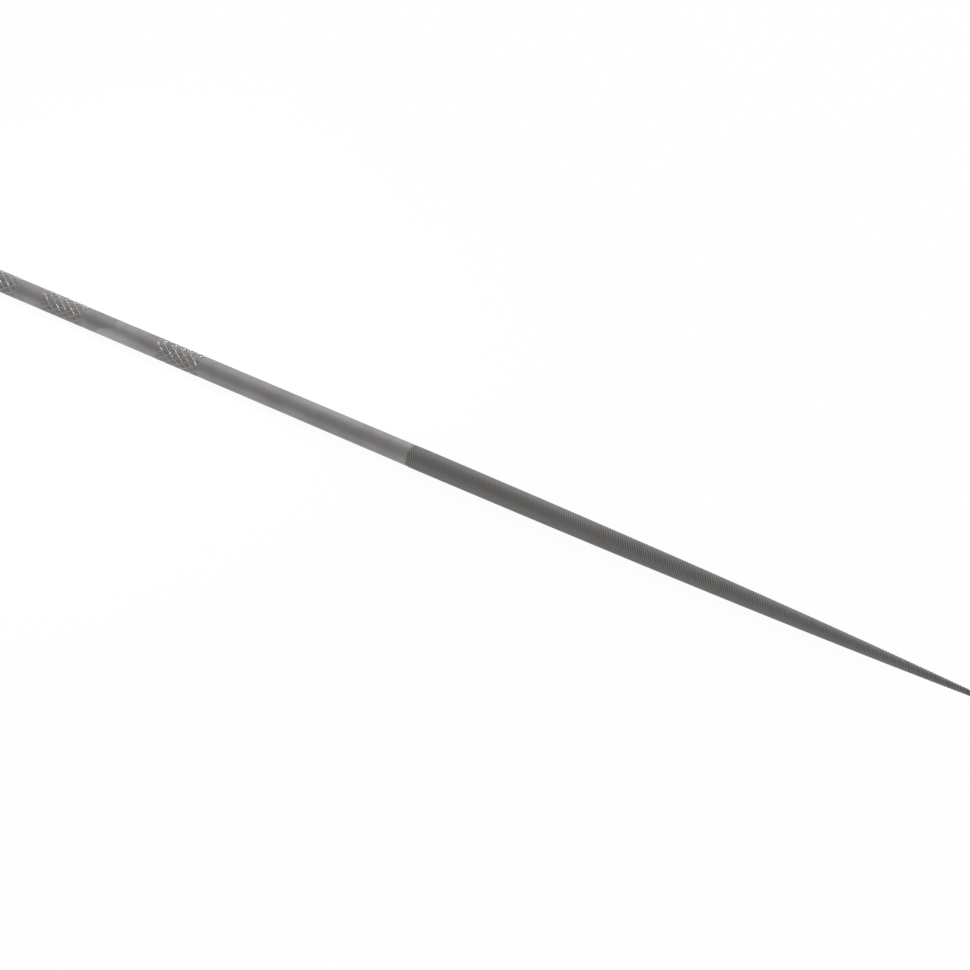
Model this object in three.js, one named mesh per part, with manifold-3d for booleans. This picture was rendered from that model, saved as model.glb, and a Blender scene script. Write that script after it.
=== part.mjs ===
// Round Swiss pattern needle file. It lies along +X: the centre of the butt is at the
// origin and the point is at the far end. One steel bar in three zones that meet face
// to face: the knurled handle, the plain shank and the cut, tapering body.
import * as THREE from 'three';
import Module from 'manifold-3d';
import { mergeVertices } from 'three/addons/utils/BufferGeometryUtils.js';

// Driving dimensions, in millimetres
const handleDiameter = 3;
const shankLength = 34.05;
const cutLength = 80.5;
const pointDiameter = 0.45;

const buttChamfer = 0.35;
const buttLandLength = 5.25;
const gapLength = 4.9;
const markLandLength = 12.95;

const knurlBandLength = 7.45;
const knurlPitch = 1.5;
const knurlRunOut = 0.1;
const knurlRise = 0.01;
const knurlDepth = 0.1;

const flatDepth = 0.28;
const flatButtInset = 5.65;
const flatPointInset = 3.4;
const flatRamp = 3;

const toothPitch = 0.335;
const toothDepth = 0.085;
const toothRise = 0.05;
const pointRound = 0.2;

// Counts, angles and shares of the shape
const plainFacets = 48;
const knurlsAround = 10;
const sectionsPerTurn = 12;
const fewestStarts = 4;
const toothLean = THREE.MathUtils.degToRad(31);
const flatAngle = THREE.MathUtils.degToRad(168);
const stretchShares = [0, 0.5, 0.72, 0.9, 1];
const crestShare = 0.25;
const deepestToothShare = 0.25;
const straightTaperShare = 0.23;
const taperExponent = 2.9;
const pointFaceShare = 0.5;

// Sizes that follow
const handleRadius = handleDiameter / 2;
const heelRadius = handleRadius + toothRise;
const pointRadius = pointDiameter / 2;
const bandStarts = [
  buttLandLength,
  buttLandLength + knurlBandLength + gapLength,
  buttLandLength + 2 * knurlBandLength + gapLength + markLandLength,
];
const markLandStart = bandStarts[1] + knurlBandLength;
const shankStart = bandStarts[2] + knurlBandLength;
const cutStart = shankStart + shankLength;

const brightSteel = new THREE.MeshStandardMaterial({
  color: 0x9c9a98, metalness: 1, roughness: 0.38,
});
const knurledSteel = new THREE.MeshStandardMaterial({
  color: 0x94918f, metalness: 1, roughness: 0.42,
});
const cutSteel = new THREE.MeshStandardMaterial({
  color: 0x6f6c69, metalness: 1, roughness: 0.5,
});

// A point at a place along the axis, an angle round it from +Y to +Z, and a radius
function aroundAxis(along, angle, radius) {
  return new THREE.Vector3(along, radius * Math.cos(angle), radius * Math.sin(angle));
}

// Joins two rings of equal length. Each patch folds along the diagonal that stands
// farther out, so ridges and teeth stay whole.
function patchRings(points, first, second, count, index) {
  const standOut = (one, other) => {
    const middle = points[one].clone().add(points[other]);
    return Math.hypot(middle.y, middle.z);
  };
  for (let side = 0; side < count; side += 1) {
    const next = (side + 1) % count;
    const [a, b, c, d] = [first + side, first + next, second + next, second + side];
    if (standOut(a, c) > standOut(b, d)) index.push(a, b, c, a, c, d);
    else index.push(a, b, d, b, c, d);
  }
}

// Joins two rings that differ in length: each step goes on along the ring whose next
// point comes first round the axis
function zipRings(points, first, firstCount, second, secondCount, index) {
  const turn = 2 * Math.PI;
  const angleOf = (point) => Math.atan2(points[point].z, points[point].y);
  const start = angleOf(first);
  const past = (point) => (((angleOf(point) - start) % turn) + turn) % turn;
  const sides = Array.from({ length: secondCount }, (_, side) => side);
  const shift = sides.reduce((best, side) => (
    past(second + side) < past(second + best) ? side : best
  ));
  const firstAt = (side) => first + (side % firstCount);
  const secondAt = (side) => second + ((side + shift) % secondCount);
  const firstPast = (side) => (side === firstCount ? turn : past(firstAt(side)));
  const secondPast = (side) => (
    side < secondCount ? past(secondAt(side)) : turn + past(secondAt(0))
  );
  let one = 0;
  let other = 0;
  while (one < firstCount || other < secondCount) {
    const firstIsNext = one < firstCount
      && (other === secondCount || firstPast(one + 1) <= secondPast(other + 1));
    if (firstIsNext) {
      index.push(firstAt(one), firstAt(one + 1), secondAt(other));
      one += 1;
    } else {
      index.push(firstAt(one), secondAt(other + 1), secondAt(other));
      other += 1;
    }
  }
}

// Joins rings, listed along +X, into one closed body with flat ends
function loftRings(rings) {
  const points = rings.flat();
  const index = [];
  let first = 0;
  for (let ring = 0; ring < rings.length - 1; ring += 1) {
    const count = rings[ring].length;
    const nextCount = rings[ring + 1].length;
    const second = first + count;
    if (count === nextCount) patchRings(points, first, second, count, index);
    else zipRings(points, first, count, second, nextCount, index);
    first = second;
  }
  const startCount = rings[0].length;
  const endCount = rings[rings.length - 1].length;
  const startCentre = points.length;
  points.push(new THREE.Vector3(points[0].x, 0, 0));
  points.push(new THREE.Vector3(points[first].x, 0, 0));
  for (let side = 0; side < startCount; side += 1) {
    index.push(startCentre, (side + 1) % startCount, side);
  }
  for (let side = 0; side < endCount; side += 1) {
    index.push(startCentre + 1, first + side, first + ((side + 1) % endCount));
  }
  const geometry = new THREE.BufferGeometry().setFromPoints(points);
  geometry.setIndex(index);
  geometry.computeVertexNormals();
  return geometry;
}

// A plain round ring with a facet that faces straight down
function plainRing(along, radius) {
  return Array.from({ length: plainFacets }, (_, side) => (
    aroundAxis(along, (side + 1 / 2) * 2 * Math.PI / plainFacets, radius)
  ));
}

// One knurl row: ridge crossings and the bottoms of the sunk diamonds take turns, and
// the next row is shifted by one place, which draws the ridges as a diagonal lattice
function knurlRing(along, row) {
  const count = 2 * knurlsAround;
  return Array.from({ length: count }, (_, side) => {
    const isCrossing = (side + row) % 2 === 0;
    const radius = handleRadius + (isCrossing ? knurlRise : -knurlDepth);
    return aroundAxis(along, (side + 1 / 2) * 2 * Math.PI / count, radius);
  });
}

function knurlBandRings(start) {
  const rowLength = knurlBandLength - 2 * knurlRunOut;
  const rows = Math.max(1, Math.round(rowLength / (knurlPitch / 2)));
  const rings = [plainRing(start, handleRadius)];
  for (let row = 0; row <= rows; row += 1) {
    rings.push(knurlRing(start + knurlRunOut + rowLength * row / rows, row));
  }
  rings.push(plainRing(start + knurlBandLength, handleRadius));
  return rings;
}

const wasm = await Module();
wasm.setup();

function toSolid(geometry) {
  const bare = geometry.clone();
  bare.deleteAttribute('normal');
  bare.deleteAttribute('uv');
  const merged = mergeVertices(bare);
  return new wasm.Manifold(new wasm.Mesh({
    numProp: 3,
    vertProperties: new Float32Array(merged.attributes.position.array),
    triVerts: new Uint32Array(merged.index.array),
  }));
}

function fromSolid(solid) {
  const mesh = solid.getMesh();
  const geometry = new THREE.BufferGeometry();
  geometry.setAttribute('position', new THREE.BufferAttribute(mesh.vertProperties, 3));
  geometry.setIndex(new THREE.BufferAttribute(mesh.triVerts, 1));
  geometry.computeVertexNormals();
  return geometry;
}

// Cuts the bare pressed flat between the second and third bands, ramped at both ends
function flatCutter() {
  const length = markLandLength - flatButtInset - flatPointInset;
  const profile = new THREE.Shape();
  profile.moveTo(0, 0);
  profile.lineTo(length, 0);
  profile.lineTo(length + flatRamp, flatDepth);
  profile.lineTo(length + flatRamp, handleRadius);
  profile.lineTo(-flatRamp, handleRadius);
  profile.lineTo(-flatRamp, flatDepth);
  profile.closePath();
  const cutter = new THREE.ExtrudeGeometry(profile, {
    depth: handleDiameter, bevelEnabled: false,
  });
  cutter.translate(markLandStart + flatButtInset, handleRadius - flatDepth, -handleRadius);
  cutter.rotateX(flatAngle);
  return cutter;
}

function knurledHandle() {
  const handle = toSolid(loftRings([
    plainRing(0, handleRadius - buttChamfer),
    plainRing(buttChamfer, handleRadius),
    ...bandStarts.flatMap(knurlBandRings),
  ]));
  return fromSolid(handle.subtract(toSolid(flatCutter())));
}

function plainShank() {
  return loftRings([
    plainRing(shankStart, handleRadius),
    plainRing(cutStart, handleRadius),
  ]);
}

// Radius over the tooth crests: nearly parallel at the heel, drawn in ever faster
// towards the point
function crestRadius(along) {
  const share = along / cutLength;
  const drawn = straightTaperShare * share
    + (1 - straightTaperShare) * share ** taperExponent;
  return heelRadius + (pointRadius - heelRadius) * drawn;
}

// How many spirals run side by side where the body is this thick, so that the teeth
// keep both their pitch and their lean
function startsAt(along) {
  const ideal = 2 * Math.PI * crestRadius(along) * Math.tan(toothLean) / toothPitch;
  return Math.max(fewestStarts, Math.round(ideal));
}

// One section of the cut: a ratchet wheel whose teeth are turned on with the spiral.
// The steep flank of every tooth looks to the point and the long back to the handle.
function toothRing(along, turn, starts) {
  const crest = crestRadius(along);
  const root = crest - Math.min(toothDepth, deepestToothShare * crest);
  return Array.from({ length: 2 * starts }, (_, side) => {
    const isCrest = side % 2 === 1;
    const tooth = Math.floor(side / 2) + (isCrest ? crestShare : 0);
    const angle = turn + tooth * 2 * Math.PI / starts;
    return aroundAxis(cutStart + along, angle, isCrest ? crest : root);
  });
}

// The body is cut in stretches. Each next one has fewer spirals and a faster twist,
// and starts with its first spiral in line with the last stretch's.
function cutBody() {
  const spiralLength = cutLength - pointRound;
  const rings = [plainRing(cutStart, handleRadius)];
  let turn = 0;
  for (let stretch = 0; stretch < stretchShares.length - 1; stretch += 1) {
    const from = spiralLength * stretchShares[stretch];
    const length = spiralLength * stretchShares[stretch + 1] - from;
    const starts = startsAt(from + length / 2);
    const turns = length / (starts * toothPitch);
    const steps = Math.max(1, Math.round(turns * sectionsPerTurn));
    for (let step = 1; step <= steps; step += 1) {
      const along = from + length * step / steps;
      const twist = 2 * Math.PI * turns * step / steps;
      rings.push(toothRing(along, turn + twist, starts));
    }
    turn += 2 * Math.PI * turns;
  }
  const pointFace = rings[rings.length - 1].map((point) => (
    aroundAxis(cutStart + cutLength, Math.atan2(point.z, point.y), pointRadius * pointFaceShare)
  ));
  return loftRings([...rings, pointFace]);
}

function named(name, geometry, material) {
  const mesh = new THREE.Mesh(geometry, material);
  mesh.name = name;
  return mesh;
}

const file = new THREE.Group();
file.add(named('knurled_handle', knurledHandle(), knurledSteel));
file.add(named('plain_shank', plainShank(), brightSteel));
file.add(named('cut_body', cutBody(), cutSteel));

export default file;
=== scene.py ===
# A round Swiss pattern needle file of tool steel, lying on a white table.
# Lengths in the dictionaries are in millimetres. Angles run round the file from +Y to +Z.
import math
import bmesh
import bpy
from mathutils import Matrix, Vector, noise


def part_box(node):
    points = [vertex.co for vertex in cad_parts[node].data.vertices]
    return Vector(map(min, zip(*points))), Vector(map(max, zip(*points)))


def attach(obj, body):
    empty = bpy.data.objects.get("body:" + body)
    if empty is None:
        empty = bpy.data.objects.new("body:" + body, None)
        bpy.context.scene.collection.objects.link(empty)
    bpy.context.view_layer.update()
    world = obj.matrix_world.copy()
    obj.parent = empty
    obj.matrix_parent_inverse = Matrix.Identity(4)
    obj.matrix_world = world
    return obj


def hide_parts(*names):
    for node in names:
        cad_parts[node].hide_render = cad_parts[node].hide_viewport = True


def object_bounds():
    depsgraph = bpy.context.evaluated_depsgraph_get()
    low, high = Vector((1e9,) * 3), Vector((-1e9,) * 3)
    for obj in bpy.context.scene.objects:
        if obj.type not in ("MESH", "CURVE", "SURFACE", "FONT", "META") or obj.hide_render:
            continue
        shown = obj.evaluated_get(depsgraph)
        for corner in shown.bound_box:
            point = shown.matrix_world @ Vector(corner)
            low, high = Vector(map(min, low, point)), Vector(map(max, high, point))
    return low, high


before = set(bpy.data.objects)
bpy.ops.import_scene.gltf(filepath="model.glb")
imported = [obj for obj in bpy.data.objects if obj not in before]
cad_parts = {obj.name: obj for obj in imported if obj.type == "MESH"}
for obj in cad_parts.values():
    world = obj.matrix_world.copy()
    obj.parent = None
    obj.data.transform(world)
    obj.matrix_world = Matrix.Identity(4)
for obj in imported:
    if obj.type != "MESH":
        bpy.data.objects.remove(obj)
cadLow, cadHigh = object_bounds()
mm = 0.001  # one millimetre in metres

# The bar that every zone of the file is made from
blank = {
    "diameter": 3,
    "facingDegrees": 130.4,  # the side that the camera sees, so every seam is on the other one
    "mergeDistance": 1e-4,
    "cutTolerance": 1e-5,  # a cut that passes a vertex this closely goes through it
    "edgeTolerance": 1e-4,  # edges are found this close to their place along the file
    "sharpDegrees": 40,  # shading breaks at edges that are sharper than this
}
girth = math.pi * blank["diameter"]
seamAngle = math.radians(blank["facingDegrees"] - 180)

# What the skin tells its material: hollow is 1 at the bottom of a pit, raised is 1 on a worn
# ridge or a tooth's edge, and wiped is 1 where the handle is rubbed or the teeth are shallow.
# The hollows' darker tint is partly grime and partly painted shade, and the raised parts'
# lighter tint is partly wear and partly a painted highlight
skinLayers = ("hollow", "raised", "wiped")


# Small helpers for flat sheets of skin: x runs along the file, y round it and z out of it

def smoothStep(low, high, value):
    share = min(1, max(0, (value - low) / (high - low)))
    return share * share * (3 - 2 * share)


def newSkin():
    bm = bmesh.new()
    return bm, [bm.verts.layers.float.new(name) for name in skinLayers]


# A sheet of one by one, stretched over the two ranges
def flatSheet(bm, alongCells, aroundCells, alongRange, aroundRange):
    made = bmesh.ops.create_grid(bm, x_segments=alongCells, y_segments=aroundCells, size=0.5)
    size = (alongRange[1] - alongRange[0], aroundRange[1] - aroundRange[0], 1)
    bmesh.ops.scale(bm, vec=size, verts=made["verts"])
    middle = (sum(alongRange) / 2, sum(aroundRange) / 2, 0)
    bmesh.ops.translate(bm, vec=middle, verts=made["verts"])
    return made["verts"]


# Kept in order, which a set is not, so that every run gives the same mesh
def wholePart(faces):
    edges = dict.fromkeys(edge for face in faces for edge in face.edges)
    verts = dict.fromkeys(vert for face in faces for vert in face.verts)
    return [*faces, *edges, *verts]


def cutAcross(bm, places, low, high):
    for place in places:
        faces = [face for face in bm.faces if low < face.calc_center_median().x < high]
        bmesh.ops.bisect_plane(bm, geom=wholePart(faces), dist=blank["cutTolerance"],
                               plane_co=(place, 0, 0), plane_no=(1, 0, 0))


def edgesAt(bm, along):
    return [edge for edge in bm.edges if edge.is_boundary
            and all(abs(vert.co.x - along) < blank["edgeTolerance"] for vert in edge.verts)]


# Rolls flat skin up into the bar and joins its seam; shapeVertex says each radius
def rollUp(bm, shapeVertex):
    for vert in bm.verts:
        angle = seamAngle + 2 * math.pi * vert.co.y / girth
        along, out = vert.co.x, vert.co.z
        radius = shapeVertex(vert, along, angle, blank["diameter"] / 2 + out)
        vert.co = (along, radius * math.cos(angle), radius * math.sin(angle))
    bmesh.ops.remove_doubles(bm, verts=bm.verts, dist=blank["mergeDistance"])


def addObject(name, data):
    thing = bpy.data.objects.new(name, data)
    bpy.context.scene.collection.objects.link(thing)
    return thing


# Closes the ends and gives the piece its material and its place in the frame
def finishPiece(bm, name, material, nodeName, sharpDegrees):
    bmesh.ops.holes_fill(bm, edges=[edge for edge in bm.edges if edge.is_boundary], sides=0)
    bmesh.ops.scale(bm, vec=(mm, mm, mm), verts=bm.verts)
    bmesh.ops.recalc_face_normals(bm, faces=bm.faces)
    mesh = bpy.data.meshes.new(name)
    bm.to_mesh(mesh)
    bm.free()
    mesh.polygons.foreach_set("use_smooth", [True] * len(mesh.polygons))
    mesh.set_sharp_from_angle(angle=math.radians(sharpDegrees))
    mesh.materials.append(material)
    piece = addObject(name, mesh)
    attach(piece, "root")
    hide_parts(nodeName)
    print(name, len(mesh.polygons), "faces")


# Camera

cameraPlace = {
    "focalPixels": 1830,
    "imagePixels": 970,
    "sensorWidth": 36,
    "location": (176.15, -142.72, 167.84),
    "turn": (0.7819, 0, 0.5392),  # radians
    "nearest": 10,
}


def placeCamera():
    camera = bpy.data.cameras.new("camera")
    camera.sensor_width = cameraPlace["sensorWidth"]
    camera.lens = (cameraPlace["focalPixels"] * cameraPlace["sensorWidth"]
                   / cameraPlace["imagePixels"])
    camera.clip_start = cameraPlace["nearest"] * mm
    holder = addObject("camera", camera)
    holder.location = Vector(cameraPlace["location"]) * mm
    holder.rotation_euler = cameraPlace["turn"]
    bpy.context.scene.camera = holder


# Materials

# Linear light from the code of an sRGB colour
def hexColour(code):
    shares = [int(code[start:start + 2], 16) / 255 for start in (0, 2, 4)]
    linear = [s / 12.92 if s <= 0.04045 else ((s + 0.055) / 1.055) ** 2.4 for s in shares]
    return (*linear, 1)


# Sockets that share a name, as those of the Mix node do, are given by their number
def addNode(tree, kind, settings=None, links=None):
    node = tree.nodes.new(kind)
    for name, value in (settings or {}).items():
        if isinstance(name, int) or name in node.inputs:
            node.inputs[name].default_value = value
        else:
            setattr(node, name, value)
    for name, socket in (links or {}).items():
        tree.links.new(socket, node.inputs[name])
    return node


def newTree(owner):
    owner.use_nodes = True
    owner.node_tree.nodes.clear()
    return owner.node_tree


# Drawn silver steel, ground and rubbed along with fine emery: a satin grey with soft clouds,
# faint lines along the bar and a few light specks. Real emery lines are some ten times closer
# together, and are drawn this coarse so that they show.
polishedSteel = {
    "base": "8E8C8B", "cloud": "858382", "hollow": "6E6C6B", "crest": "B4B2B0", "wiped": "9D9B9A",
    "roughness": 0.42, "roughnessSpread": 0.06,
    "wipedRoughness": 0.38, "hollowRoughness": 0.48, "crestRoughness": 0.35,
    "cloudSize": 3.2, "cloudDetail": 4, "cloudRoughness": 0.55,
    "cloudEdges": (0.35, 0.65), "satinEdges": (0.3, 0.7),  # of the clouds' noise
    "lineSpacing": 0.16, "lineLength": 5, "lineHeight": 0.0012, "lineDetail": 3,
    "speckSize": 0.3, "speckShare": 0.1, "speckStrength": 0.5,
}

# The same steel under a shallow rolled knurl: handling brightens the ridges a little, and the
# pits between them keep a dull skin. The pits' darker tint is partly grime and partly painted
# shade, and the ridges' lighter tint is partly wear and partly a painted highlight
knurledSteel = {
    **polishedSteel,
    "hollow": "807E7D", "crest": "969492", "hollowRoughness": 0.6, "crestRoughness": 0.43,
}

# Hardened carbon steel as it leaves the chisel and the quench: a darker, drier grey, with
# duller gullets whose darker tint is partly oil and partly painted shade, and a slight painted
# highlight on each tooth's edge
hardenedSteel = {
    **polishedSteel,
    "base": "777573", "cloud": "706E6C", "hollow": "656361", "crest": "92908E", "wiped": "747270",
    "roughness": 0.48, "wipedRoughness": 0.5, "hollowRoughness": 0.52, "crestRoughness": 0.42,
    "lineHeight": 0.0006, "speckShare": 0.04,
}


# Cloudy metal, whose tints and finishes follow the layers of the skin
def steelMaterial(name, look):
    material = bpy.data.materials.new(name)
    tree = newTree(material)
    place = addNode(tree, "ShaderNodeTexCoord").outputs["Object"]
    perMillimetre = 1 / mm

    clouds = addNode(tree, "ShaderNodeTexNoise",
                     {"Scale": perMillimetre / look["cloudSize"],
                      "Detail": look["cloudDetail"], "Roughness": look["cloudRoughness"]},
                     {"Vector": place})
    across = 1 / look["lineSpacing"]
    stretched = addNode(tree, "ShaderNodeMapping",
                        {"Scale": (1 / look["lineLength"], across, across)}, {"Vector": place})
    lines = addNode(tree, "ShaderNodeTexNoise",
                    {"Scale": perMillimetre, "Detail": look["lineDetail"]},
                    {"Vector": stretched.outputs["Vector"]})
    specks = addNode(tree, "ShaderNodeTexVoronoi", {"Scale": perMillimetre / look["speckSize"]},
                     {"Vector": place})
    speckMask = addNode(tree, "ShaderNodeMapRange",
                        {"From Min": look["speckShare"], "From Max": look["speckShare"] / 2,
                         "To Min": 0, "To Max": look["speckStrength"]},
                        {"Value": specks.outputs["Distance"]})
    hollow, raised, wiped = [
        addNode(tree, "ShaderNodeAttribute", {"attribute_name": layer}).outputs["Fac"]
        for layer in skinLayers
    ]

    def blendColours(first, second, share):
        mix = addNode(tree, "ShaderNodeMix", {"data_type": "RGBA", 7: hexColour(second)},
                      {0: share})
        if isinstance(first, str):
            mix.inputs[6].default_value = hexColour(first)
        else:
            tree.links.new(first, mix.inputs[6])
        return mix.outputs[2]

    low, high = look["cloudEdges"]
    cloudMask = addNode(tree, "ShaderNodeMapRange", {"From Min": low, "From Max": high},
                        {"Value": clouds.outputs["Fac"]})
    colour = blendColours(look["base"], look["cloud"], cloudMask.outputs["Result"])
    # The hollow tint is partly painted shade, and the crest tint on the raised parts partly a
    # painted highlight
    for tint, mask in (("wiped", wiped), ("hollow", hollow), ("crest", raised),
                       ("crest", speckMask.outputs["Result"])):
        colour = blendColours(colour, look[tint], mask)

    spread = look["roughnessSpread"] / 2
    low, high = look["satinEdges"]
    satin = addNode(tree, "ShaderNodeMapRange",
                    {"From Min": low, "From Max": high,
                     "To Min": look["roughness"] - spread, "To Max": look["roughness"] + spread},
                    {"Value": clouds.outputs["Fac"]})
    shine = satin.outputs["Result"]
    for finish, mask in (("wiped", wiped), ("hollow", hollow), ("crest", raised)):
        mix = addNode(tree, "ShaderNodeMix", {"data_type": "FLOAT", 3: look[finish + "Roughness"]},
                      {0: mask, 2: shine})
        shine = mix.outputs[0]
    bump = addNode(tree, "ShaderNodeBump", {"Strength": 1, "Distance": look["lineHeight"] * mm},
                   {"Height": lines.outputs["Fac"]})
    steel = addNode(tree, "ShaderNodeBsdfPrincipled", {"Metallic": 1},
                    {"Base Color": colour, "Roughness": shine,
                     "Normal": bump.outputs["Normal"]})
    addNode(tree, "ShaderNodeOutputMaterial", None, {"Surface": steel.outputs["BSDF"]})
    return material


# Handle: three knurled bands between plain lands, with a bare flat on the longest land

handle = {
    "buttChamfer": 0.35,
    "chamferCuts": (0.1, 0.3, 0.6, 0.85, 1),  # shares of the chamfer
    "buttLand": 5.25,
    "gap": 4.9,
    "longLand": 12.95,
    "band": 7.45,
    "landCell": 0.5,
    "longLandCell": 0.25,
    "unevenness": 0.006,
    "unevenSteps": 1.3,  # over each radius of the bar
}

# Each band's lattice is set by one crossing of its ridges: a place along the file and an
# angle from the side that faces the camera
knurl = {
    "pitch": 1.49,
    "countAround": 10,
    "crossings": [(10.8, -7.5), (18.485, -4), (39.21, 6.5)],
    "cellShares": [0, 0.035, 0.075, 0.12, 0.18, 0.28, 0.5, 0.72, 0.82, 0.88, 0.925, 0.965],
    "rise": 0.012,
    "depth": 0.075,
    "ridgeHalfWidth": 0.02,
    "ridgeFoot": 0.15,
    "brightDownTo": 0.45,  # how far down their flanks the ridges are lightened, partly by wear and partly as a painted highlight
    "wear": 0.85,  # how much the ridges' height varies
    "wearSize": 0.43,
    "pitGrimeAndShadeLevel": 0.8,  # how dark the pits are on the whole, partly grime and partly painted shade
    "pitGrimeAndShade": 1.3,  # how much the pits' tone varies
    "pitGrimeAndShadeSize": 0.32,
    "runOut": 0.18,
}

# A shallow flat with sloping ends on the longest land
pressedFlat = {
    "facingDegrees": 168,
    "depth": 0.28,
    "crown": 0.8,  # the share of the bar's roundness that is left on it
    "start": 27.7, "full": 30.7, "fading": 34.6, "end": 37.6,
}
leastLean = 0.1  # keeps a flat off the sides of the bar that face away from it

# Where the bar is rubbed lighter: a patch over the flat that reaches farther down, and a paler
# zone all round
rubbedPatch = {
    "facingDegrees": 190,
    "depth": 0.75,
    "softDepth": 0.08,  # the patch is softer at its rim, where it is shallower than this
    "start": 27.4, "full": 30.5, "fading": 34.6, "end": 37.6,
    "dullFrom": 31.5, "dullTo": 36,  # towards the third band it is rubbed less and less
    "dullShare": 0.25,
    "zoneFrom": (30.9, 31.4), "zoneTo": (32.8, 35.5),
    "zoneShare": 0.45,
    "zoneLean": 1.1,  # how far the zone's ends lean over a radian of the way round
    "mottleSize": 0.9,
    "mottleShare": 0.5,
}


# One band: ridges along both diagonals of a lattice, drawn on a sheet whose cells follow
# those diagonals and then trimmed to the band
def rollKnurl(bm, start, crossing, hollowLayer, raisedLayer):
    pitch, cell = knurl["pitch"], girth / knurl["countAround"]
    crossX = crossing[0]
    crossY = girth * (180 + crossing[1]) / 360  # the seam is half a turn from the camera's side
    spacing = pitch * cell / math.hypot(pitch, cell)  # between neighbouring ridges
    end = start + handle["band"]
    shares = knurl["cellShares"]

    corners = []
    for x in (start, end):
        for y in (0, girth):
            alongCells, aroundCells = (x - crossX) / pitch, (y - crossY) / cell
            corners.append((alongCells - aroundCells, alongCells + aroundCells))
    low = [math.floor(min(values)) for values in zip(*corners)]
    high = [math.ceil(max(values)) for values in zip(*corners)]
    cells = [(most - least) * len(shares) for least, most in zip(low, high)]
    before = set(bm.faces)
    verts = flatSheet(bm, *cells, (0, cells[0]), (0, cells[1]))
    for vert in verts:
        diagonals, falls = [], []
        for axis in (0, 1):
            whole, part = divmod(round(vert.co[axis]), len(shares))
            diagonals.append(low[axis] + whole + shares[part])
            away = min(shares[part], 1 - shares[part]) * spacing
            falls.append(smoothStep(knurl["ridgeHalfWidth"], knurl["ridgeFoot"], away))
        first, second = diagonals
        vert.co = (crossX + (first + second) * pitch / 2, crossY + (second - first) * cell / 2,
                   knurl["rise"] - (knurl["rise"] + knurl["depth"]) * min(falls))
        # The pits' darker tint is partly grime and partly painted shade, and the ridges' lighter
        # tint partly wear and partly a painted highlight
        vert[hollowLayer] = min(falls)
        vert[raisedLayer] = 1 - smoothStep(0, knurl["brightDownTo"], min(falls))
    for place, normal in (((start, 0, 0), (-1, 0, 0)), ((end, 0, 0), (1, 0, 0)),
                          ((0, 0, 0), (0, -1, 0)), ((0, girth, 0), (0, 1, 0))):
        faces = [face for face in bm.faces if face not in before]
        bmesh.ops.bisect_plane(bm, geom=wholePart(faces), dist=blank["cutTolerance"],
                               plane_co=place, plane_no=normal, clear_outer=True)
    for vert in {vert for face in bm.faces if face not in before for vert in face.verts}:
        pressed = smoothStep(0, knurl["runOut"], min(vert.co.x - start, end - vert.co.x))
        vert.co.z *= pressed
        vert[hollowLayer] *= pressed
        vert[raisedLayer] *= pressed


# How far a flat that is sunk into the bar, with sloping ends, cuts into a radius there
def sinkAt(flat, along, angle, radius):
    rising = (along - flat["start"]) / (flat["full"] - flat["start"])
    falling = (flat["end"] - along) / (flat["end"] - flat["fading"])
    sunk = flat["depth"] * max(0, min(1, rising, falling))
    lean = math.cos(angle - math.radians(flat["facingDegrees"]))
    return max(0, radius - (blank["diameter"] / 2 - sunk) / max(lean, leastLean))


def rubbedAt(along, angle, radius):
    spot = Vector((along, math.cos(angle), math.sin(angle)))
    mottle = noise.noise(spot / rubbedPatch["mottleSize"])
    dull = smoothStep(rubbedPatch["dullFrom"], rubbedPatch["dullTo"], along + mottle)
    patch = smoothStep(0, rubbedPatch["softDepth"], sinkAt(rubbedPatch, along, angle, radius))
    patch *= ((1 - (1 - rubbedPatch["dullShare"]) * dull)
              * (1 + rubbedPatch["mottleShare"] * min(0, mottle)))
    level = along - rubbedPatch["zoneLean"] * (angle - math.radians(blank["facingDegrees"]))
    zone = smoothStep(*rubbedPatch["zoneFrom"], level)
    zone *= 1 - smoothStep(*rubbedPatch["zoneTo"], level)
    return max(patch, rubbedPatch["zoneShare"] * (1 + mottle) * zone)


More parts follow.
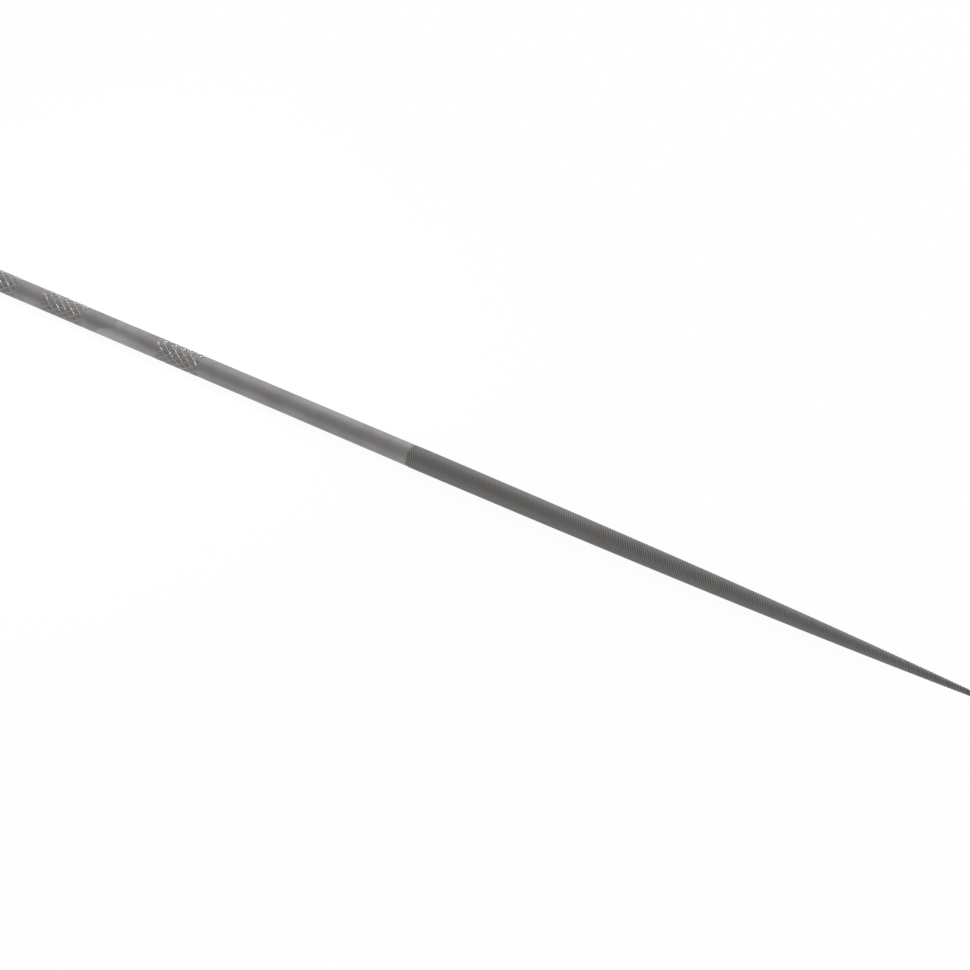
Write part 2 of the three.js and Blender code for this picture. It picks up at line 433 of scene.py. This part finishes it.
def makeHandle(material):
    bm, (hollowLayer, raisedLayer, wipedLayer) = newSkin()
    band = handle["band"]
    bandStarts = [handle["buttLand"]]
    for land in (handle["gap"], handle["longLand"]):
        bandStarts.append(bandStarts[-1] + band + land)
    for start, crossing in zip(bandStarts, knurl["crossings"]):
        rollKnurl(bm, start, crossing, hollowLayer, raisedLayer)

    chamfer = handle["buttChamfer"]
    rim = edgesAt(bm, bandStarts[0])
    butt = bmesh.ops.duplicate(bm, geom=rim)["geom"]
    buttVerts = [item for item in butt if isinstance(item, bmesh.types.BMVert)]
    buttEdges = [item for item in butt if isinstance(item, bmesh.types.BMEdge)]
    bmesh.ops.translate(bm, vec=(-bandStarts[0], 0, 0), verts=buttVerts)
    # Bridged, because after an extrusion the mesh's order changes from run to run
    bmesh.ops.bridge_loops(bm, edges=rim + buttEdges)
    cutAcross(bm, [chamfer * share for share in handle["chamferCuts"]], 0, bandStarts[0])
    lands = [(chamfer, bandStarts[0], handle["landCell"]),
             (bandStarts[0] + band, bandStarts[1], handle["landCell"]),
             (bandStarts[1] + band, bandStarts[2], handle["longLandCell"])]
    for start, end, cell in lands:
        if start > chamfer:
            bmesh.ops.bridge_loops(bm, edges=edgesAt(bm, start) + edgesAt(bm, end))
        cuts = round((end - start) / cell)
        cutAcross(bm, [start + (end - start) * cut / cuts for cut in range(1, cuts)], start, end)
    longStart, longEnd = lands[2][:2]

    def shapeVertex(vert, along, angle, radius):
        out = radius - blank["diameter"] / 2
        spot = Vector((2 * along / blank["diameter"], math.cos(angle), math.sin(angle)))
        worn = 1 + knurl["wear"] * noise.noise(spot * blank["diameter"] / 2 / knurl["wearSize"])
        vert[raisedLayer] *= worn
        pitGrimeAndShade = noise.noise(spot * blank["diameter"] / 2 / knurl["pitGrimeAndShadeSize"])
        vert[hollowLayer] *= knurl["pitGrimeAndShadeLevel"] + knurl["pitGrimeAndShade"] * pitGrimeAndShade
        radius += out * (worn - 1)
        if along < chamfer:
            radius -= chamfer - math.sqrt(chamfer ** 2 - (chamfer - along) ** 2)
        if longStart < along < longEnd:
            vert[wipedLayer] = rubbedAt(along, angle, radius)
            radius -= (1 - pressedFlat["crown"]) * sinkAt(pressedFlat, along, angle, radius)
        return radius + handle["unevenness"] * noise.noise(spot * handle["unevenSteps"])

    rollUp(bm, shapeVertex)
    finishPiece(bm, "file_handle", material, "knurled_handle",
                blank["sharpDegrees"])


# Shank: plain polished bar

shank = {
    "cellsAround": 128,
    "cellsAlong": 90,
    "unevenness": 0.005,
    "unevenSteps": 0.4,  # over each millimetre of its length
}


def makeShank(material):
    low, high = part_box("plain_shank")
    bm = bmesh.new()  # without skin layers, which then read as 0
    flatSheet(bm, shank["cellsAlong"], shank["cellsAround"], (low.x / mm, high.x / mm), (0, girth))

    def shapeVertex(vert, along, angle, radius):
        spot = Vector((along * shank["unevenSteps"], math.cos(angle), math.sin(angle)))
        return radius + shank["unevenness"] * noise.noise(spot)

    rollUp(bm, shapeVertex)
    finishPiece(bm, "file_shank", material, "plain_shank",
                blank["sharpDegrees"])


# Cut body: spirals of teeth on a taper that draws in ever faster

teeth = {
    "heelDiameter": 3.1,
    "pointDiameter": 0.45,
    "straightTaperShare": 0.23,
    "taperExponent": 2.9,
    "pitch": 0.335,
    "depth": 0.085,
    "deepestShare": 0.25,
    "leanDegrees": 32,
    "mostSpirals": 16,
    "fewestSpirals": 4,
    "sectionsPerTurn": 40,
    "profileShares": [(0, 0), (0.3, 1), (0.38, 1), (0.7, 0.4)],  # round the tooth, height
    "fadeOrder": [15, 7, 11, 3, 13, 5, 9, 1, 14, 6, 10, 2],  # which spiral runs out first
    "fadingLevel": 0.4,  # a spiral that runs out flattens to this height
    "sinkingWidth": 0.3,  # and sinks into the gullet once it is narrower than this
    "heelRamp": 0.3,
    "pointRound": 0.25,
    "roundings": [0.25, 0.5, 0.72, 0.88, 0.97],
    "mergeDistance": 2e-4,
    "sharpDegrees": 32,
    "edgeHighlight": 0.5,  # how bright the teeth's edges are, partly rubbed and partly a painted highlight
    "unevenSpacing": 0.06,
    "spacingNoise": (1.7, 7.3, 0.5),  # length, step from spiral to spiral, start
    "unevenHeight": 0.15,
    "heightNoise": (0.9, 3.1, 4.5),
    "patchLength": 2.6,  # patches of lightly and fully cut teeth take turns
    "patchesAround": 1.4,
    "patchEdges": (-0.35, 0.45),  # of their noise
    "finePatches": (2.7, 0.5),  # how much smaller and fainter the small patches are
    "lightestCut": 0.4,
    "deepestCut": 0.88,
    "evenShare": 0.6,
    "firstBite": 2.5,  # the chisel bites fully here, then lightly up to the next places
    "lightUntil": (18, 32),
    "easesOff": (42, 55),  # it bites a little less from here on
    "easedShare": 0.55,
    "fullAgain": (64, 74),
}


def crestRadius(share):
    heel, point = teeth["heelDiameter"] / 2, teeth["pointDiameter"] / 2
    straight = teeth["straightTaperShare"]
    drawn = straight * share + (1 - straight) * share ** teeth["taperExponent"]
    return heel + (point - heel) * drawn


# How many spirals fit side by side, so that the teeth keep their pitch and their lean
def spiralsAt(share):
    lean = math.tan(math.radians(teeth["leanDegrees"]))
    count = 2 * math.pi * crestRadius(share) * lean / teeth["pitch"]
    return min(teeth["mostSpirals"], max(teeth["fewestSpirals"], count))


# Full spirals are 1 wide, and the one that is running out is narrower
def spiralWidths(count):
    widths = [1] * teeth["mostSpirals"]
    for place, spiral in enumerate(teeth["fadeOrder"]):
        widths[spiral] = min(1, max(0, count - (teeth["mostSpirals"] - 1 - place)))
    return widths


# How fully the chisel has bitten, from 0 where it only marks the steel to 1
def biteAt(along, angle):
    reach = teeth["patchesAround"]
    spot = Vector((along / teeth["patchLength"], reach * math.cos(angle), reach * math.sin(angle)))
    finer, fainter = teeth["finePatches"]
    patch = smoothStep(*teeth["patchEdges"],
                       noise.noise(spot) + fainter * noise.noise(spot * finer))
    later = smoothStep(*teeth["lightUntil"], along)
    eased = smoothStep(*teeth["easesOff"], along) - smoothStep(*teeth["fullAgain"], along)
    later *= 1 - (1 - teeth["easedShare"]) * eased
    first = 1 - smoothStep(0, teeth["firstBite"], along)
    return max(first, later * (teeth["evenShare"] + (1 - teeth["evenShare"]) * patch))


def spiralNoise(settings, along, spiral):
    length, step, start = settings
    return noise.noise(Vector((along / length, spiral * step, start)))


# Where the sections are, from the heel, and where the last one before the round point is
def findSections(length):
    places = [0]
    while places[-1] < length - teeth["pointRound"]:
        step = spiralsAt(places[-1] / length) * teeth["pitch"] / teeth["sectionsPerTurn"]
        places.append(places[-1] + step)
    last = places[-1]
    places += [last + (length - last) * share for share in teeth["roundings"]] + [length]
    return places, last


def makeCutBody(material):
    low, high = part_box("cut_body")
    start, length = low.x / mm, (high.x - low.x) / mm
    places, last = findSections(length)
    points = teeth["profileShares"]
    columns = teeth["mostSpirals"] * len(points)
    rows = len(places) - 1
    bm, (hollowLayer, raisedLayer, wipedLayer) = newSkin()
    flatSheet(bm, rows, columns, (0, rows), (0, columns))
    for vert in bm.verts:
        row, column = round(vert.co.x), round(vert.co.y) % columns
        spiral, corner = divmod(column, len(points))
        along = places[row]
        share = along / length
        widths = spiralWidths(spiralsAt(share))
        twistRows = min(row, rows - len(teeth["roundings"]) - 1)
        turn = 2 * math.pi * twistRows / teeth["sectionsPerTurn"]
        across, height = points[corner]
        drift = spiralNoise(teeth["spacingNoise"], along, spiral)
        width = widths[spiral]
        spot = sum(widths[:spiral]) + width * (across + teeth["unevenSpacing"] * drift)
        angle = turn + 2 * math.pi * spot / sum(widths)
        crest = crestRadius(share)
        deep = min(teeth["depth"], teeth["deepestShare"] * crest)
        level = teeth["fadingLevel"] * smoothStep(0, teeth["sinkingWidth"], width)
        height = level + (height - level) * width
        heel = smoothStep(0, teeth["heelRamp"], along)
        bitten = biteAt(along, angle)
        cut = teeth["lightestCut"] + (teeth["deepestCut"] - teeth["lightestCut"]) * bitten
        bite = heel * cut
        lift = spiralNoise(teeth["heightNoise"], along, spiral)
        radius = crest - bite * deep * (1 - height * (1 - teeth["unevenHeight"] * abs(lift)))
        radius -= (1 - heel) * (crestRadius(0) - blank["diameter"] / 2)
        if along > last:
            radius *= math.sqrt(max(0, 1 - ((along - last) / (length - last)) ** 2))
        vert.co = (start + along, radius * math.cos(angle), radius * math.sin(angle))
        # Gullets take a darker tint that is partly oil and partly painted shade, and the teeth's
        # edges a painted highlight
        shine = teeth["edgeHighlight"] if points[corner][1] == 1 else 0
        vert[hollowLayer] = bite * (1 - height)
        vert[raisedLayer] = bite * shine * width
        vert[wipedLayer] = 1 - bitten
    bmesh.ops.remove_doubles(bm, verts=bm.verts, dist=teeth["mergeDistance"])
    finishPiece(bm, "file_cut", material, "cut_body", teeth["sharpDegrees"])


# Table, lamps and background

studio = {
    "tableSize": 4000,
    "tableCells": 4,
    "tableColour": "FFFFFF",
    "tableGlowShare": 0.955,  # the rest takes the file's shadow
    "roomColour": "FFFFFF",
    "ceilingAxis": (0, -0.71, 0.71),  # the dimmest part of the room, behind the camera
    "ceilingColour": "D0D0D0",
    "dimmingFrom": -0.05, "dimmingTo": 0.85,
    "lamps": [  # the second one lights the handle alone, where it picks out the knurl
        {"name": "back_softbox", "from": (60, 690, 420), "at": (80, 0, 0),
         "size": (900, 900), "watts": 1.47, "spreadDegrees": 180},
        {"name": "handle_lamp", "from": (50, 60, 250), "at": (24, 0, 0),
         "size": (70, 70), "watts": 0.0078, "spreadDegrees": 13},
    ],
}


# 1 for rays that show the table, straight or in a reflection
def seenShare(tree):
    path = addNode(tree, "ShaderNodeLightPath")
    mirrored = addNode(tree, "ShaderNodeMath", {"operation": "MAXIMUM"},
                       {0: path.outputs["Is Glossy Ray"], 1: path.outputs["Is Transmission Ray"]})
    shown = addNode(tree, "ShaderNodeMath", {"operation": "MAXIMUM"},
                    {0: path.outputs["Is Camera Ray"], 1: mirrored.outputs["Value"]})
    return shown.outputs["Value"]


def makeTable():
    bm = bmesh.new()
    half = studio["tableSize"] / 2
    cells = studio["tableCells"]
    flatSheet(bm, cells, cells, (-half, half), (-half, half))
    bmesh.ops.translate(bm, vec=(0, 0, cadLow.z / mm), verts=bm.verts)
    bmesh.ops.scale(bm, vec=(mm, mm, mm), verts=bm.verts)
    mesh = bpy.data.meshes.new("table")
    bm.to_mesh(mesh)
    bm.free()
    material = bpy.data.materials.new("white_table")
    tree = newTree(material)
    glow = addNode(tree, "ShaderNodeMath", {"operation": "MULTIPLY", 1: studio["tableGlowShare"]},
                   {0: seenShare(tree)})
    colour = hexColour(studio["tableColour"])
    matt = addNode(tree, "ShaderNodeBsdfDiffuse", {"Color": colour})
    light = addNode(tree, "ShaderNodeEmission", {"Color": colour, "Strength": 1})
    mixed = addNode(tree, "ShaderNodeMixShader", None,
                    {0: glow.outputs["Value"], 1: matt.outputs["BSDF"],
                     2: light.outputs["Emission"]})
    addNode(tree, "ShaderNodeOutputMaterial", None, {"Surface": mixed.outputs["Shader"]})
    mesh.materials.append(material)
    table = addObject("table", mesh)


# A white room whose ceiling dims behind the camera, which satin steel shows as its darker middle
def makeWorld():
    world = bpy.data.worlds.new("studio")
    bpy.context.scene.world = world
    tree = newTree(world)
    roomColour = hexColour(studio["roomColour"])
    camera = addNode(tree, "ShaderNodeLightPath").outputs["Is Camera Ray"]
    direction = addNode(tree, "ShaderNodeTexCoord").outputs["Generated"]
    towards = addNode(tree, "ShaderNodeVectorMath",
                      {"operation": "DOT_PRODUCT", 1: studio["ceilingAxis"]}, {0: direction})
    ceiling = addNode(tree, "ShaderNodeMapRange",
                      {"From Min": studio["dimmingFrom"], "From Max": studio["dimmingTo"]},
                      {"Value": towards.outputs["Value"]})
    room = addNode(tree, "ShaderNodeMix",
                   {"data_type": "RGBA", 6: roomColour,
                    7: hexColour(studio["ceilingColour"])}, {0: ceiling.outputs["Result"]})
    around = addNode(tree, "ShaderNodeBackground", {"Strength": 1}, {"Color": room.outputs[2]})
    white = addNode(tree, "ShaderNodeBackground", {"Color": roomColour, "Strength": 1})
    mixed = addNode(tree, "ShaderNodeMixShader", None,
                    {0: camera, 1: around.outputs["Background"], 2: white.outputs["Background"]})
    addNode(tree, "ShaderNodeOutputWorld", None, {"Surface": mixed.outputs["Shader"]})


def makeLamps():
    for lamp in studio["lamps"]:
        light = bpy.data.lights.new(lamp["name"], "AREA")
        light.shape = "RECTANGLE"
        light.size, light.size_y = [side * mm for side in lamp["size"]]
        light.energy = lamp["watts"]
        light.spread = math.radians(lamp["spreadDegrees"])
        holder = addObject(lamp["name"], light)
        holder.location = Vector(lamp["from"]) * mm
        towards = Vector(lamp["at"]) - Vector(lamp["from"])
        holder.rotation_euler = towards.to_track_quat("-Z", "Y").to_euler()


bpy.context.scene.view_settings.view_transform = "Standard"
placeCamera()
print("camera placed")
makeHandle(steelMaterial("knurled_silver_steel", knurledSteel))
makeShank(steelMaterial("polished_silver_steel", polishedSteel))
makeCutBody(steelMaterial("hardened_file_steel", hardenedSteel))
print("file made")
makeTable()
makeWorld()
makeLamps()
print("table and light made")
